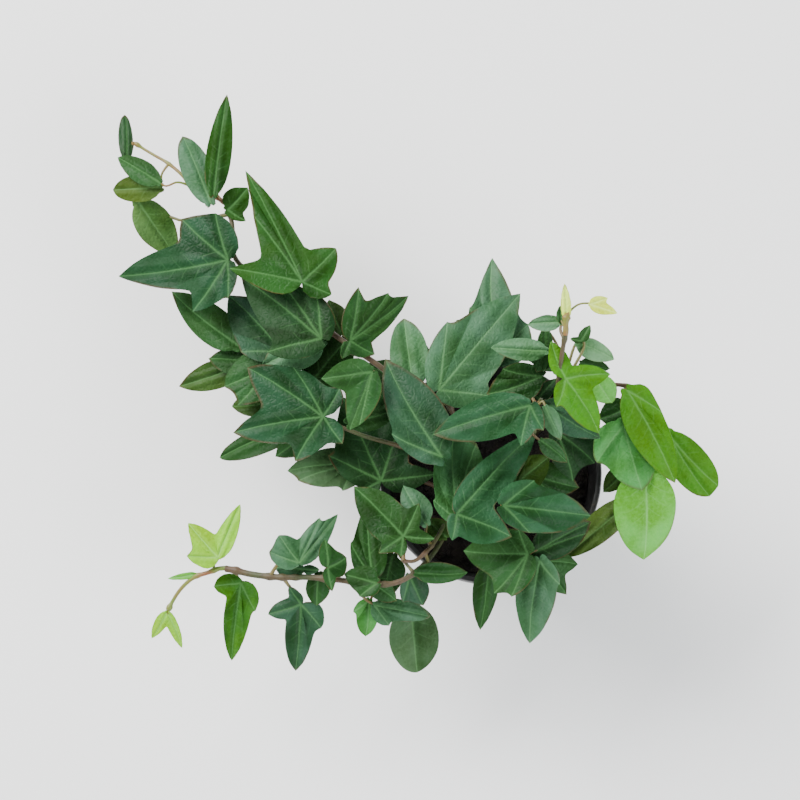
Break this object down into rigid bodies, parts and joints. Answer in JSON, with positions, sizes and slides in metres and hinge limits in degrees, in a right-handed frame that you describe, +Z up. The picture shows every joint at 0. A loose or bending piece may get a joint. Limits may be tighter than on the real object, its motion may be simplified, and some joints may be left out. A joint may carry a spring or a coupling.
{
  "type": "potted ivy",
  "caption": "Trailing ivy with lobed, pale-veined leaves on long and short stems, rooted in soil in a plain round tapered nursery pot.",
  "frame": {"origin": "centre of the flat bottom of the pot", "axes": "+Z up out of the pot; -Y towards the viewer's feet in the picture, +X to the picture's right"},
  "size_m": [0.2862, 0.2771, 0.1586],
  "materials": {
    "pot": "matte",
    "soil": "rough",
    "foliage": "satin",
    "young_foliage": "satin"
  },
  "bodies": {
    "root": {"pot": "pot", "soil": "soil", "back_left_runner": "foliage", "left_spray": "foliage", "left_front_spray": "foliage", "centre_back_spray": "foliage", "centre_spray": "foliage", "centre_right_spray": "foliage", "back_right_shoot": "foliage", "right_spray": "foliage", "front_right_spray": "foliage", "front_left_spray": "foliage", "front_left_runner": "foliage", "back_left_tip": "young_foliage", "back_right_tip": "young_foliage", "front_left_tip": "young_foliage"}
  },
  "joints": []
}
